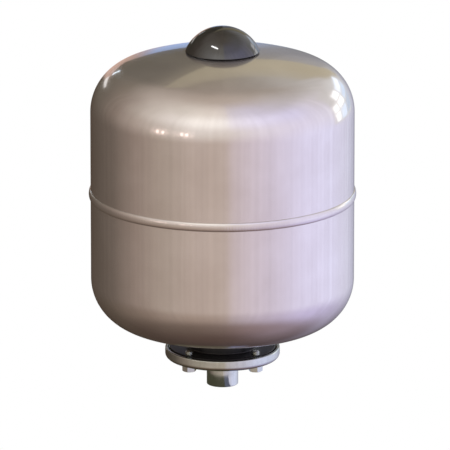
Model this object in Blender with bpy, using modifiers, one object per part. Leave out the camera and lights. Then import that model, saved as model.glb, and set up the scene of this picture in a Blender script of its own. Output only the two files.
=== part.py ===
"""Expansion vessel for a heating or water system, hanging from its pipe end.

A steel tank pressed in two halves holds a rubber water bag. The bag's lip is clamped
between a black ring welded to the tank and a zinc plated dish, which carries the pipe
socket. An air valve sits in the top of the tank, under a plastic cap.

Metres, +Z up. The origin is the centre of the pipe socket's lower end, and every
turned piece shares the Z axis.
"""

import math

import bmesh
import bpy
from mathutils import Matrix, Vector

# Tank: two pressed heads of the same tool, joined at a girth weld.
BODY_DIAMETER = 0.270
SHELL_WALL = 0.0015
UPPER_STRAIGHT = 0.086
LOWER_STRAIGHT = 0.089
KNUCKLE_RADIUS = 0.051
CROWN_RADIUS = 0.320
SEAM_LAP = 0.009
WELD_BEAD_HEIGHT = 0.0096
WELD_BEAD_PROUD = 0.002

# Pipe socket, the dish that carries it, and the ring welded to the tank.
SOCKET_BORE = 0.0241
SOCKET_WALL = 0.00415
SOCKET_LENGTH = 0.0289
SOCKET_EDGE = 0.0010
SOCKET_WELD = 0.0025
DISH_DIAMETER = 0.118
DISH_HEIGHT = 0.0113
DISH_SHEET = 0.0030
DISH_CORNER = 0.0048
BAG_LIP_THICKNESS = 0.004
RING_CLEARANCE = 0.0015
RING_THICKNESS = 0.0045
NECK_WALL = 0.0055
NECK_HEIGHT = 0.0091
NECK_INSIDE = 0.0025
NECK_WELD = 0.003

# Flange bolts, M8 hexagon head.
BOLT_COUNT = 4
BOLT_TO_RING_EDGE = 0.0065
BOLT_TO_NECK = 0.0115
BOLT_DIAMETER = 0.008
BOLT_PROUD = 0.0036
BOLT_HEAD_HEIGHT = 0.0053
BOLT_HEAD_FLATS = 0.013
BOLT_HEAD_TURN = 15.0
DISH_HOLE_CLEARANCE = 0.0005

# Water bag.
BAG_WALL = 0.002
BAG_SIDE_GAP = 0.035
BAG_TOP_GAP = 0.062
BAG_BOTTOM_GAP = 0.020

# Air valve and its boss.
BOSS_SHOULDER = 0.00092
BOSS_RISE = 0.004
BOSS_DROP = 0.006
BOSS_FOOT_WIDTH = 0.004
BOSS_FOOT_THICKNESS = 0.0025
STEM_SHANK_DIAMETER = 0.0100
STEM_TAIL_DIAMETER = 0.0070
STEM_TAIL = 0.005
STEM_HEX_FLATS = 0.014
STEM_HEX_HEIGHT = 0.0026
STEM_NECK_DIAMETER = 0.0077
STEM_NECK_LENGTH = 0.0049
STEM_BORE = 0.0055
STEM_SEAT_BORE = 0.0044
STEM_SEAT_DEPTH = 0.0086
O_RING_SECTION = 0.0013
O_RING_TO_SHANK = 0.0006
CORE_CLEARANCE = 0.0003
CORE_HEAD_LENGTH = 0.0047
CORE_LENGTH = 0.0132
CORE_CAVITY = 0.0027
CORE_CAVITY_DEPTH = 0.0072
CORE_PASSAGE = 0.0017
CORE_SEAL_HEIGHT = 0.0015
PIN_DIAMETER = 0.0010
PIN_CLEARANCE = 0.0003
PIN_COLLAR_DEPTH = 0.0017
PIN_COLLAR_HEIGHT = 0.0008
PIN_CUP_HEIGHT = 0.0008
POPPET_HEIGHT = 0.0007
SPRING_WIRE = 0.00024
SPRING_TURNS = 4

# Dust cap on the valve, and the dome cap over it.
DUST_CAP_WALL = 0.0014
DUST_CAP_TOP = 0.0010
DUST_CAP_EDGE = 0.0005
DUST_SEAL_HEIGHT = 0.0010
DUST_SEAL_HOLE = 0.0030
CAP_DIAMETER = 0.0762
CAP_HEIGHT = 0.0252
CAP_WALL = 0.0018
CAP_LIFT = 0.0016
CAP_SPIGOT_WALL = 0.0015
CAP_SPIGOT_LIFT = 0.0006

# Gaps: between pieces that touch, between the fine parts of the valve, and on threads.
GAP = 0.0003
FINE_GAP = 0.0001
THREAD_GAP = 0.00015

# Facets of a full turn, and points along a rounded stretch.
LARGE_FACETS = 36
SMALL_FACETS = 20
CROWN_POINTS = 5
KNUCKLE_POINTS = 5
BEAD_POINTS = 6
BAG_POINTS = 10
DOME_POINTS = 9
DOME_INSIDE_POINTS = 6
COIL_POINTS = 10
MERGE_DISTANCE = 0.00001
OVERCUT = 0.002

PARTS_NAME = "expansion_vessel"
CUTTERS_NAME = "cutters"


# Heights and radii that follow from the sizes above.

BODY_RADIUS = BODY_DIAMETER / 2
SOCKET_RADIUS = SOCKET_BORE / 2 + SOCKET_WALL
DISH_RADIUS = DISH_DIAMETER / 2
DISH_INSIDE_RADIUS = DISH_RADIUS - DISH_SHEET
DISH_TOP = SOCKET_LENGTH + DISH_HEIGHT
DISH_FLOOR = SOCKET_LENGTH + DISH_SHEET
LIP_BOTTOM = DISH_FLOOR + GAP
LIP_TOP = LIP_BOTTOM + BAG_LIP_THICKNESS
RING_BOTTOM = LIP_TOP + GAP
RING_TOP = RING_BOTTOM + RING_THICKNESS
RING_RADIUS = DISH_INSIDE_RADIUS - RING_CLEARANCE
BOLT_CIRCLE_RADIUS = RING_RADIUS - BOLT_TO_RING_EDGE
BOLT_FACE = SOCKET_LENGTH - GAP
BOLT_LENGTH = RING_TOP - BOLT_FACE + BOLT_PROUD
NECK_RADIUS = BOLT_CIRCLE_RADIUS - BOLT_TO_NECK
NECK_BORE_RADIUS = NECK_RADIUS - NECK_WALL
BAG_NECK_RADIUS = NECK_BORE_RADIUS - 2 * GAP
LIP_RADIUS = BOLT_CIRCLE_RADIUS - BOLT_DIAMETER / 2 - 3 * GAP
TANK_BOTTOM = RING_TOP + NECK_HEIGHT


def head_depth(radius, knuckle, crown):
    """Height of a dished head from the end of its straight side to its pole."""
    lean = math.asin((radius - knuckle) / (crown - knuckle))
    return crown - (crown - knuckle) * math.cos(lean)


HEAD_DEPTH = head_depth(BODY_RADIUS, KNUCKLE_RADIUS, CROWN_RADIUS)
SEAM_HEIGHT = TANK_BOTTOM + HEAD_DEPTH + LOWER_STRAIGHT
UPPER_HEAD_START = SEAM_HEIGHT + UPPER_STRAIGHT
LOWER_HEAD_START = SEAM_HEIGHT - LOWER_STRAIGHT
TANK_TOP = UPPER_HEAD_START + HEAD_DEPTH


def crown_drop(radius, crown=CROWN_RADIUS):
    """How far a crown sphere has fallen from its pole at this radius."""
    return crown - math.sqrt(crown * crown - radius * radius)


STEM_HEX_CORNER = STEM_HEX_FLATS / 2 / math.cos(math.radians(30))
BOSS_RADIUS = STEM_HEX_CORNER + BOSS_SHOULDER
BOSS_FOOT_RADIUS = BOSS_RADIUS + BOSS_FOOT_WIDTH
BOSS_BORE_RADIUS = STEM_SHANK_DIAMETER / 2 + THREAD_GAP
O_RING_RADIUS = STEM_SHANK_DIAMETER / 2 + O_RING_TO_SHANK + O_RING_SECTION / 2
CORE_HEAD_RADIUS = STEM_BORE / 2 - CORE_CLEARANCE
CORE_BARREL_RADIUS = STEM_SEAT_BORE / 2 - CORE_CLEARANCE
PIN_COLLAR_RADIUS = CORE_CAVITY / 2 - PIN_CLEARANCE
PIN_CUP_RADIUS = CORE_BARREL_RADIUS - FINE_GAP
BOSS_TOP = TANK_TOP + BOSS_RISE
O_RING_GROOVE = O_RING_SECTION + FINE_GAP
STEM_HEX_BOTTOM = BOSS_TOP + GAP
STEM_HEX_TOP = STEM_HEX_BOTTOM + STEM_HEX_HEIGHT
STEM_MOUTH = STEM_HEX_TOP + STEM_NECK_LENGTH
BOSS_BOTTOM = TANK_TOP - SHELL_WALL - BOSS_DROP
STEM_BOTTOM = BOSS_BOTTOM - STEM_TAIL
CORE_TOP = STEM_MOUTH - 4 * FINE_GAP
CORE_BOTTOM = CORE_TOP - CORE_LENGTH
CORE_SHELF = CORE_TOP - CORE_CAVITY_DEPTH
PIN_TOP = STEM_MOUTH - 2 * FINE_GAP
PIN_COLLAR_TOP = CORE_TOP - PIN_COLLAR_DEPTH
PIN_COLLAR_BOTTOM = PIN_COLLAR_TOP - PIN_COLLAR_HEIGHT
POPPET_TOP = CORE_BOTTOM - FINE_GAP
PIN_CUP_TOP = POPPET_TOP - POPPET_HEIGHT - FINE_GAP
DUST_RIM = STEM_HEX_TOP + GAP
DUST_SEAL_BOTTOM = STEM_MOUTH + 2 * FINE_GAP
DUST_CAVITY_TOP = DUST_SEAL_BOTTOM + DUST_SEAL_HEIGHT + FINE_GAP
CAP_RADIUS = CAP_DIAMETER / 2
CAP_RIM = TANK_TOP - crown_drop(CAP_RADIUS) + CAP_LIFT
CAP_TOP = CAP_RIM + CAP_HEIGHT


# Building blocks.


def make_material(name, colour, roughness, metallic):
    material = bpy.data.materials.new(name)
    material.use_nodes = True
    shader = material.node_tree.nodes["Principled BSDF"]
    shader.inputs["Base Color"].default_value = (*colour, 1.0)
    shader.inputs["Roughness"].default_value = roughness
    shader.inputs["Metallic"].default_value = metallic
    return material


def add_object(name, mesh, material, collection):
    piece = bpy.data.objects.new(name, mesh)
    collection.objects.link(piece)
    if material:
        mesh.materials.append(material)
    return piece


def turned(name, profile, material, collection, facets=LARGE_FACETS, hollow=True):
    """Turn a profile of (radius, height) points about Z.

    The profile runs down the outer side from top to bottom. A hollow one then comes
    back up the inner side and is closed; a solid one starts and ends on the axis.
    """
    points = [(radius, 0.0, height) for radius, height in profile]
    edges = [(i, i + 1) for i in range(len(points) - 1)]
    if hollow:
        edges.append((len(points) - 1, 0))
    mesh = bpy.data.meshes.new(name)
    mesh.from_pydata(points, edges, [])
    piece = add_object(name, mesh, material, collection)
    screw = piece.modifiers.new("turn", "SCREW")
    screw.axis = "Z"
    screw.angle = math.tau
    screw.steps = facets
    screw.render_steps = facets
    screw.use_merge_vertices = True
    screw.merge_threshold = MERGE_DISTANCE
    screw.use_smooth_shade = True
    return piece


def arc(centre_r, centre_z, radius, start, end, points):
    """Points on a circle of the profile plane; angles in degrees from the +r direction."""
    found = []
    for i in range(points + 1):
        angle = math.radians(start + (end - start) * i / points)
        found.append((centre_r + radius * math.cos(angle), centre_z + radius * math.sin(angle)))
    return found


def head_profile(start, sign, inset, hole):
    """A dished head from its hole to its straight side, inset by a wall thickness.

    start is the height where the straight side ends, and sign is 1 for the upper head
    and -1 for the lower one.
    """
    knuckle = KNUCKLE_RADIUS - inset
    crown = CROWN_RADIUS - inset
    offset = BODY_RADIUS - KNUCKLE_RADIUS
    lean = math.asin(offset / (CROWN_RADIUS - KNUCKLE_RADIUS))
    centre = -(CROWN_RADIUS - KNUCKLE_RADIUS) * math.cos(lean)
    first = math.asin(hole / crown)
    points = []
    for i in range(CROWN_POINTS):
        angle = first + (lean - first) * i / CROWN_POINTS
        points.append((crown * math.sin(angle), centre + crown * math.cos(angle)))
    for i in range(KNUCKLE_POINTS + 1):
        angle = lean + (math.pi / 2 - lean) * i / KNUCKLE_POINTS
        points.append((offset + knuckle * math.sin(angle), knuckle * math.cos(angle)))
    return [(radius, start + sign * height) for radius, height in points]


def cylinder(name, radius, bottom, top, collection, place=(0.0, 0.0), facets=SMALL_FACETS, turn=0.0):
    """A closed prism with many sides, standing between two heights."""
    shape = bmesh.new()
    bmesh.ops.create_cone(
        shape,
        cap_ends=True,
        segments=facets,
        radius1=radius,
        radius2=radius,
        depth=top - bottom,
        matrix=Matrix.Rotation(math.radians(turn), 4, "Z"),
    )
    mesh = bpy.data.meshes.new(name)
    shape.to_mesh(mesh)
    shape.free()
    piece = add_object(name, mesh, None, collection)
    piece.location = (place[0], place[1], (bottom + top) / 2)
    return piece


def hide_cutter(cutter):
    cutter.hide_render = True
    cutter.display_type = "WIRE"


def combine(piece, cutter, operation):
    hide_cutter(cutter)
    boolean = piece.modifiers.new(cutter.name, "BOOLEAN")
    boolean.operation = operation
    boolean.solver = "EXACT"
    boolean.object = cutter


def bolt_places():
    """Centres of the flange bolts, the first at half a step so that the front stays open."""
    step = math.tau / BOLT_COUNT
    radius = BOLT_CIRCLE_RADIUS
    angles = [step * (i + 0.5) for i in range(BOLT_COUNT)]
    return [(radius * math.cos(angle), radius * math.sin(angle)) for angle in angles]


def drill_bolt_holes(piece, radius, bottom, top, cutters):
    for i, place in enumerate(bolt_places()):
        name = f"{piece.name}_hole_{i + 1}"
        hole = cylinder(name, radius, bottom - OVERCUT, top + OVERCUT, cutters, place)
        combine(piece, hole, "DIFFERENCE")


# Tank.


def build_upper_shell(parts, finish):
    hole = BOSS_RADIUS + GAP
    outer = head_profile(UPPER_HEAD_START, 1, 0.0, hole)
    inner = head_profile(UPPER_HEAD_START, 1, SHELL_WALL, hole)
    edge = SEAM_HEIGHT + GAP / 2
    profile = outer + [(BODY_RADIUS, edge), (BODY_RADIUS - SHELL_WALL, edge)] + inner[::-1]
    return turned("upper_shell", profile, finish, parts)


def build_lower_shell(parts, finish):
    """The lower half, whose rim is set in by a wall so that it enters the upper half."""
    hole = NECK_RADIUS + GAP
    outer = head_profile(LOWER_HEAD_START, -1, 0.0, hole)
    inner = head_profile(LOWER_HEAD_START, -1, SHELL_WALL, hole)
    shoulder = SEAM_HEIGHT - GAP / 2
    lap_outer = BODY_RADIUS - SHELL_WALL - GAP
    lap_inner = lap_outer - SHELL_WALL
    lap = [(lap_outer, SEAM_HEIGHT + SEAM_LAP), (lap_outer, shoulder), (BODY_RADIUS, shoulder)]
    slope = shoulder - 2 * SHELL_WALL
    back = [(BODY_RADIUS - SHELL_WALL, slope - SHELL_WALL), (lap_inner, slope)]
    back.append((lap_inner, SEAM_HEIGHT + SEAM_LAP))
    profile = lap + outer[::-1] + inner + back
    return turned("lower_shell", profile, finish, parts)


def build_girth_weld(parts, finish):
    inside = BODY_RADIUS + GAP
    half = WELD_BEAD_HEIGHT / 2
    profile = []
    for i in range(BEAD_POINTS + 1):
        angle = math.pi * i / BEAD_POINTS
        bulge = (WELD_BEAD_PROUD - 2 * GAP) * math.sin(angle)
        profile.append((inside + GAP + bulge, SEAM_HEIGHT + half * math.cos(angle)))
    profile += [(inside, SEAM_HEIGHT - half), (inside, SEAM_HEIGHT + half)]
    return turned("girth_weld", profile, finish, parts)


# Pipe socket, dish, ring and bolts.


def build_inlet_socket(parts, finish):
    outer, inner = SOCKET_RADIUS, SOCKET_BORE / 2
    profile = [
        (outer, DISH_FLOOR),
        (outer, SOCKET_EDGE),
        (outer - SOCKET_EDGE, 0.0),
        (inner + SOCKET_EDGE, 0.0),
        (inner, SOCKET_EDGE),
        (inner, DISH_FLOOR),
    ]
    return turned("inlet_socket", profile, finish, parts)


def build_inlet_weld(parts, finish):
    inside = SOCKET_RADIUS + GAP
    top = SOCKET_LENGTH - GAP
    profile = [(inside + SOCKET_WELD, top), (inside, top - SOCKET_WELD), (inside, top)]
    return turned("inlet_weld", profile, finish, parts)


def build_cover_flange(parts, cutters, finish):
    """Zinc plated dish: a pressed plate whose rim stands up round the black ring."""
    corner_r = DISH_RADIUS - DISH_CORNER
    corner_z = SOCKET_LENGTH + DISH_CORNER
    inner_corner = DISH_CORNER - DISH_SHEET
    hole = SOCKET_RADIUS + GAP
    outside = arc(corner_r, corner_z, DISH_CORNER, 0.0, -90.0, 4)
    inside = arc(corner_r, corner_z, inner_corner, -90.0, 0.0, 3)
    profile = [(DISH_RADIUS, DISH_TOP)] + outside
    profile += [(hole, SOCKET_LENGTH), (hole, DISH_FLOOR)] + inside
    profile.append((DISH_INSIDE_RADIUS, DISH_TOP))
    piece = turned("cover_flange", profile, finish, parts)
    radius = BOLT_DIAMETER / 2 + DISH_HOLE_CLEARANCE
    drill_bolt_holes(piece, radius, SOCKET_LENGTH, DISH_FLOOR, cutters)
    return piece


def build_neck_flange(parts, cutters, finish):
    """Black ring with a short neck that enters the tank's hole."""
    bore = NECK_BORE_RADIUS
    top = TANK_BOTTOM + crown_drop(NECK_RADIUS) + SHELL_WALL + NECK_INSIDE
    profile = [
        (NECK_RADIUS, top),
        (NECK_RADIUS, RING_TOP),
        (RING_RADIUS, RING_TOP),
        (RING_RADIUS, RING_BOTTOM),
        (bore, RING_BOTTOM),
        (bore, top),
    ]
    piece = turned("neck_flange", profile, finish, parts)
    radius = BOLT_DIAMETER / 2 + GAP
    drill_bolt_holes(piece, radius, RING_BOTTOM, RING_TOP, cutters)
    return piece


def build_neck_weld(parts, finish):
    """Fillet in the corner between the neck and the tank's lower head."""
    inside = NECK_RADIUS + GAP
    outside = inside + NECK_WELD
    shell = TANK_BOTTOM - GAP
    profile = [
        (outside, shell + crown_drop(outside)),
        (inside, shell + crown_drop(inside) - NECK_WELD),
        (inside, shell + crown_drop(inside)),
    ]
    return turned("neck_weld", profile, finish, parts)


def bolt_mesh(cutters):
    """One hexagon bolt along Z, its head's bearing face at height 0 and its end at +Z."""
    corner = BOLT_HEAD_FLATS / 2 / math.cos(math.radians(30))
    head = cylinder("bolt_head", corner, -BOLT_HEAD_HEIGHT, 0.0, cutters, facets=6)
    root = -BOLT_HEAD_HEIGHT / 2
    shank = cylinder("bolt_shank", BOLT_DIAMETER / 2, root, BOLT_LENGTH, cutters, facets=12)
    hide_cutter(head)
    combine(head, shank, "UNION")
    bpy.context.view_layer.update()
    seen = head.evaluated_get(bpy.context.evaluated_depsgraph_get())
    mesh = bpy.data.meshes.new_from_object(seen)
    mesh.name = "flange_bolt"
    mesh.transform(head.matrix_world)
    bpy.data.objects.remove(head)
    bpy.data.objects.remove(shank)
    return mesh


def build_flange_bolts(parts, cutters, finish):
    mesh = bolt_mesh(cutters)
    mesh.materials.clear()
    mesh.materials.append(finish)
    for i, (x, y) in enumerate(bolt_places()):
        bolt = bpy.data.objects.new(f"flange_bolt_{i + 1}", mesh)
        parts.objects.link(bolt)
        bolt.location = (x, y, BOLT_FACE)
        mirrored = 1.0 if x > 0 else -1.0
        bolt.rotation_euler.z = math.radians(BOLT_HEAD_TURN * mirrored)


# Water bag.


def build_bladder(parts, finish):
    """Pear-shaped bag, open at its neck, with the lip that the flange clamps."""
    neck_top = TANK_BOTTOM + crown_drop(NECK_RADIUS) + BAG_BOTTOM_GAP
    top = TANK_TOP - BAG_TOP_GAP
    belly = BODY_RADIUS - BAG_SIDE_GAP
    outer_neck = BAG_NECK_RADIUS
    middle = (neck_top + top) / 2
    half = (top - neck_top) / 2

    def side(inset):
        points = []
        start = math.asin((outer_neck - inset) / (belly - inset))
        for i in range(BAG_POINTS + 1):
            angle = (math.pi - start) * i / BAG_POINTS
            height = middle + (half - inset) * math.cos(angle)
            points.append(((belly - inset) * math.sin(angle), height))
        points[0] = (0.0, points[0][1])
        return points

    outer = side(0.0)
    inner = side(BAG_WALL)
    lip = [
        (outer_neck, LIP_TOP),
        (LIP_RADIUS, LIP_TOP),
        (LIP_RADIUS, LIP_BOTTOM),
        (outer_neck - BAG_WALL, LIP_BOTTOM),
    ]
    return turned("bladder", outer + lip + inner[::-1], finish, parts, hollow=False)


# Air valve.


def build_valve_boss(parts, finish):
    """Steel boss through the top of the tank, with a foot inside and an O-ring seat on top."""
    foot_top = TANK_TOP - crown_drop(BOSS_FOOT_RADIUS) - SHELL_WALL - GAP
    foot_bottom = foot_top - BOSS_FOOT_THICKNESS
    seat = O_RING_RADIUS + O_RING_SECTION / 2 + FINE_GAP
    profile = [
        (BOSS_RADIUS, BOSS_TOP),
        (BOSS_RADIUS, foot_top),
        (BOSS_FOOT_RADIUS, foot_top),
        (BOSS_FOOT_RADIUS, foot_bottom),
        (BOSS_RADIUS, foot_bottom),
        (BOSS_RADIUS, BOSS_BOTTOM),
        (BOSS_BORE_RADIUS, BOSS_BOTTOM),
        (BOSS_BORE_RADIUS, BOSS_TOP - O_RING_GROOVE),
        (seat, BOSS_TOP - O_RING_GROOVE),
        (seat, BOSS_TOP),
    ]
    return turned("valve_boss", profile, finish, parts, SMALL_FACETS)


def build_valve_stem(parts, cutters, finish):
    """Brass stem: threaded neck, hexagon, shank in the boss, and a tail in the tank."""
    neck, shank = STEM_NECK_DIAMETER / 2, STEM_SHANK_DIAMETER / 2
    tail = STEM_TAIL_DIAMETER / 2
    profile = [
        (0.0, STEM_MOUTH),
        (neck, STEM_MOUTH),
        (neck, STEM_HEX_BOTTOM + STEM_HEX_HEIGHT / 2),
        (shank, STEM_HEX_BOTTOM + STEM_HEX_HEIGHT / 2),
        (shank, BOSS_BOTTOM),
        (tail, BOSS_BOTTOM),
        (tail, STEM_BOTTOM),
        (0.0, STEM_BOTTOM),
    ]
    piece = turned("valve_stem", profile, finish, parts, SMALL_FACETS, hollow=False)
    size = (STEM_HEX_CORNER, STEM_HEX_BOTTOM, STEM_HEX_TOP)
    hexagon = cylinder("stem_hexagon", *size, cutters, facets=6)
    combine(piece, hexagon, "UNION")
    seat = STEM_MOUTH - STEM_SEAT_DEPTH
    wide, narrow = STEM_BORE / 2, STEM_SEAT_BORE / 2
    bore = [
        (0.0, STEM_MOUTH + OVERCUT),
        (wide, STEM_MOUTH + OVERCUT),
        (wide, seat),
        (narrow, seat - (wide - narrow)),
        (narrow, STEM_BOTTOM - OVERCUT),
        (0.0, STEM_BOTTOM - OVERCUT),
    ]
    cutter = turned("stem_bore", bore, None, cutters, SMALL_FACETS, hollow=False)
    combine(piece, cutter, "DIFFERENCE")
    return piece


def build_o_ring(parts, finish):
    middle = BOSS_TOP - O_RING_GROOVE + FINE_GAP + O_RING_SECTION / 2
    points = arc(O_RING_RADIUS, middle, O_RING_SECTION / 2, 90.0, -270.0, 8)[:-1]
    return turned("valve_stem_oring", points, finish, parts, SMALL_FACETS)


def build_core_body(parts, finish):
    """Brass core: threaded head above, slim barrel below, the spring's cavity inside."""
    head, barrel = CORE_HEAD_RADIUS, CORE_BARREL_RADIUS
    cavity, passage = CORE_CAVITY / 2, CORE_PASSAGE / 2
    profile = [
        (head, CORE_TOP),
        (head, CORE_TOP - CORE_HEAD_LENGTH),
        (barrel, CORE_TOP - CORE_HEAD_LENGTH),
        (barrel, CORE_BOTTOM),
        (passage, CORE_BOTTOM),
        (passage, CORE_SHELF),
        (cavity, CORE_SHELF),
        (cavity, CORE_TOP),
    ]
    return turned("valve_core_body", profile, finish, parts, SMALL_FACETS)


def build_core_seal(parts, finish):
    """Ring round the barrel that seals the core on the seat of the stem's bore."""
    bottom = STEM_MOUTH - STEM_SEAT_DEPTH + FINE_GAP
    outer = STEM_BORE / 2 - FINE_GAP
    inner = CORE_BARREL_RADIUS + FINE_GAP
    top = min(bottom + CORE_SEAL_HEIGHT, CORE_TOP - CORE_HEAD_LENGTH - FINE_GAP)
    profile = [(outer, top), (outer, bottom), (inner, bottom), (inner, top)]
    return turned("valve_core_seal", profile, finish, parts, SMALL_FACETS)


def build_core_pin(parts, finish):
    pin, collar, cup = PIN_DIAMETER / 2, PIN_COLLAR_RADIUS, PIN_CUP_RADIUS
    cup_bottom = PIN_CUP_TOP - PIN_CUP_HEIGHT
    profile = [
        (0.0, PIN_TOP),
        (pin, PIN_TOP),
        (pin, PIN_COLLAR_TOP),
        (collar, PIN_COLLAR_TOP),
        (collar, PIN_COLLAR_BOTTOM),
        (pin, PIN_COLLAR_BOTTOM),
        (pin, PIN_CUP_TOP),
        (cup, PIN_CUP_TOP),
        (cup, cup_bottom),
        (0.0, cup_bottom),
    ]
    return turned("valve_core_pin", profile, finish, parts, SMALL_FACETS, hollow=False)


def build_poppet_seal(parts, finish):
    bottom = PIN_CUP_TOP + FINE_GAP
    outer = PIN_CUP_RADIUS
    inner = PIN_DIAMETER / 2 + FINE_GAP
    profile = [(outer, POPPET_TOP), (outer, bottom), (inner, bottom), (inner, POPPET_TOP)]
    return turned("valve_core_poppet_seal", profile, finish, parts, SMALL_FACETS)


def build_core_spring(parts, finish):
    """Fine wire coil round the pin, between the barrel's shelf and the pin's collar."""
    wire = SPRING_WIRE / 2
    radius = (CORE_CAVITY + PIN_DIAMETER) / 4
    bottom = CORE_SHELF + FINE_GAP + wire
    top = PIN_COLLAR_BOTTOM - FINE_GAP - wire
    count = SPRING_TURNS * COIL_POINTS + 1
    curve = bpy.data.curves.new("valve_core_spring", "CURVE")
    curve.dimensions = "3D"
    curve.bevel_depth = wire
    curve.bevel_resolution = 1
    curve.use_fill_caps = True
    spline = curve.splines.new("POLY")
    spline.points.add(count - 1)
    for i in range(count):
        angle = math.tau * i / COIL_POINTS
        height = bottom + (top - bottom) * i / (count - 1)
        place = Vector((radius * math.cos(angle), radius * math.sin(angle), height))
        spline.points[i].co = (*place, 1.0)
    curve.materials.append(finish)
    piece = bpy.data.objects.new("valve_core_spring", curve)
    parts.objects.link(piece)
    return piece


# Caps.


def build_dust_cap(parts, finish):
    inner = STEM_NECK_DIAMETER / 2 + THREAD_GAP
    outer = inner + DUST_CAP_WALL
    top = DUST_CAVITY_TOP + DUST_CAP_TOP
    profile = [(0.0, top), (outer - DUST_CAP_EDGE, top), (outer, top - DUST_CAP_EDGE)]
    profile += [(outer, DUST_RIM), (inner, DUST_RIM)]
    profile += [(inner, DUST_CAVITY_TOP), (0.0, DUST_CAVITY_TOP)]
    return turned("dust_cap", profile, finish, parts, SMALL_FACETS, hollow=False)


def build_dust_cap_seal(parts, finish):
    top = DUST_SEAL_BOTTOM + DUST_SEAL_HEIGHT
    outer, inner = STEM_NECK_DIAMETER / 2, DUST_SEAL_HOLE / 2
    profile = [(outer, top), (outer, DUST_SEAL_BOTTOM), (inner, DUST_SEAL_BOTTOM), (inner, top)]
    return turned("dust_cap_seal", profile, finish, parts, SMALL_FACETS)


def dome_arc(radius, height, base, outermost, innermost, points):
    """Part of a spherical dome of this base radius and height, between two radii."""
    sphere = (radius * radius + height * height) / (2 * height)
    centre = base + height - sphere
    first = math.asin(outermost / sphere)
    last = math.asin(innermost / sphere)
    found = []
    for i in range(points + 1):
        angle = first + (last - first) * i / points
        found.append((sphere * math.sin(angle), centre + sphere * math.cos(angle)))
    return found


def build_cover_cap(parts, finish):
    """Domed cap with an inner sleeve that grips the valve boss."""
    sleeve_in = BOSS_RADIUS + GAP
    sleeve_out = sleeve_in + CAP_SPIGOT_WALL
    sleeve_end = TANK_TOP + CAP_SPIGOT_LIFT
    inside_radius = CAP_RADIUS - CAP_WALL
    inside_height = CAP_HEIGHT - CAP_WALL
    outer = dome_arc(CAP_RADIUS, CAP_HEIGHT, CAP_RIM, 0.0, CAP_RADIUS, DOME_POINTS)
    inside = (inside_radius, inside_height, CAP_RIM)
    skirt = dome_arc(*inside, inside_radius, sleeve_out, DOME_INSIDE_POINTS)
    crown = dome_arc(*inside, sleeve_in, 0.0, 2)
    sleeve = [(sleeve_out, sleeve_end), (sleeve_in, sleeve_end)]
    profile = outer + skirt + sleeve + crown
    return turned("cover_cap", profile, finish, parts, hollow=False)


def build_vessel():
    for item in list(bpy.data.objects):
        bpy.data.objects.remove(item)
    parts = bpy.data.collections.new(PARTS_NAME)
    cutters = bpy.data.collections.new(CUTTERS_NAME)
    bpy.context.scene.collection.children.link(parts)
    bpy.context.scene.collection.children.link(cutters)

    paint = make_material("silver_grey_paint", (0.44, 0.42, 0.40), 0.15, 0.35)
    zinc = make_material("zinc_plate", (0.62, 0.62, 0.64), 0.25, 1.0)
    black = make_material("black_paint", (0.012, 0.013, 0.013), 0.15, 0.0)
    plastic = make_material("black_plastic", (0.02, 0.021, 0.02), 0.12, 0.0)
    steel = make_material("bright_steel", (0.55, 0.54, 0.52), 0.3, 1.0)
    brass = make_material("brass", (0.72, 0.53, 0.25), 0.25, 1.0)
    rubber = make_material("black_rubber", (0.02, 0.02, 0.02), 0.6, 0.0)

    build_upper_shell(parts, paint)
    build_lower_shell(parts, paint)
    build_girth_weld(parts, paint)
    build_inlet_socket(parts, zinc)
    build_inlet_weld(parts, zinc)
    build_cover_flange(parts, cutters, zinc)
    build_neck_flange(parts, cutters, black)
    build_neck_weld(parts, paint)
    build_flange_bolts(parts, cutters, zinc)
    build_bladder(parts, rubber)
    build_valve_boss(parts, steel)
    build_valve_stem(parts, cutters, brass)
    build_o_ring(parts, rubber)
    build_core_body(parts, brass)
    build_core_seal(parts, rubber)
    build_core_pin(parts, brass)
    build_poppet_seal(parts, rubber)
    build_core_spring(parts, steel)
    build_dust_cap(parts, plastic)
    build_dust_cap_seal(parts, rubber)
    build_cover_cap(parts, plastic)


build_vessel()
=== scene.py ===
import math

import bmesh
import bpy
import numpy as np
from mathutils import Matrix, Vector


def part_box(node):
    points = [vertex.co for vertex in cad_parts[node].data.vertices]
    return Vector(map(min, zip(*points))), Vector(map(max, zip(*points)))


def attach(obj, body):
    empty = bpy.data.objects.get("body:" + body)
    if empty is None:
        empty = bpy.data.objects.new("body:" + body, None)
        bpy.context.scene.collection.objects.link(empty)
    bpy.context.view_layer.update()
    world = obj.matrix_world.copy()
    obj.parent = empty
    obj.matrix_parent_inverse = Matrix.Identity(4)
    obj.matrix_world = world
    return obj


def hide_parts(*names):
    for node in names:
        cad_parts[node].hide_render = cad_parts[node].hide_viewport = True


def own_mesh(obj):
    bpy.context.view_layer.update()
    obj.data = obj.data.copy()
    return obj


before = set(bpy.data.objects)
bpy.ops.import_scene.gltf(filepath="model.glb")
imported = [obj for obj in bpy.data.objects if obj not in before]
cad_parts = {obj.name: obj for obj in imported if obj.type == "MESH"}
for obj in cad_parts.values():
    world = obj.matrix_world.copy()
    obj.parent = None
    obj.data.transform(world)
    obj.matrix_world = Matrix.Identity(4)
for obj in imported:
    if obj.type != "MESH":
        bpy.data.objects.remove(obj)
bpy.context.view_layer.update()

# Expansion vessel: a painted steel tank hanging from its pipe socket, with a rubber water
# bag, a clamped flange and an air valve under a plastic cap. Metres, +Z up, turned about Z.

MM = 0.001
TAU = math.tau
CREASE = 32  # degrees; sharper edges stay sharp

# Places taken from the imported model.


def heights(node):
    """Lowest and highest z of a node's box."""
    low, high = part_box(node)
    return low.z, high.z


def half_width(node):
    """Radius of a round node: half its box's width."""
    low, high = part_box(node)
    return (high.x - low.x) / 2


def middle(node):
    """Middle of a node's box, seen from above."""
    low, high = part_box(node)
    return np.array(((low.x + high.x) / 2, (low.y + high.y) / 2))


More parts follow.
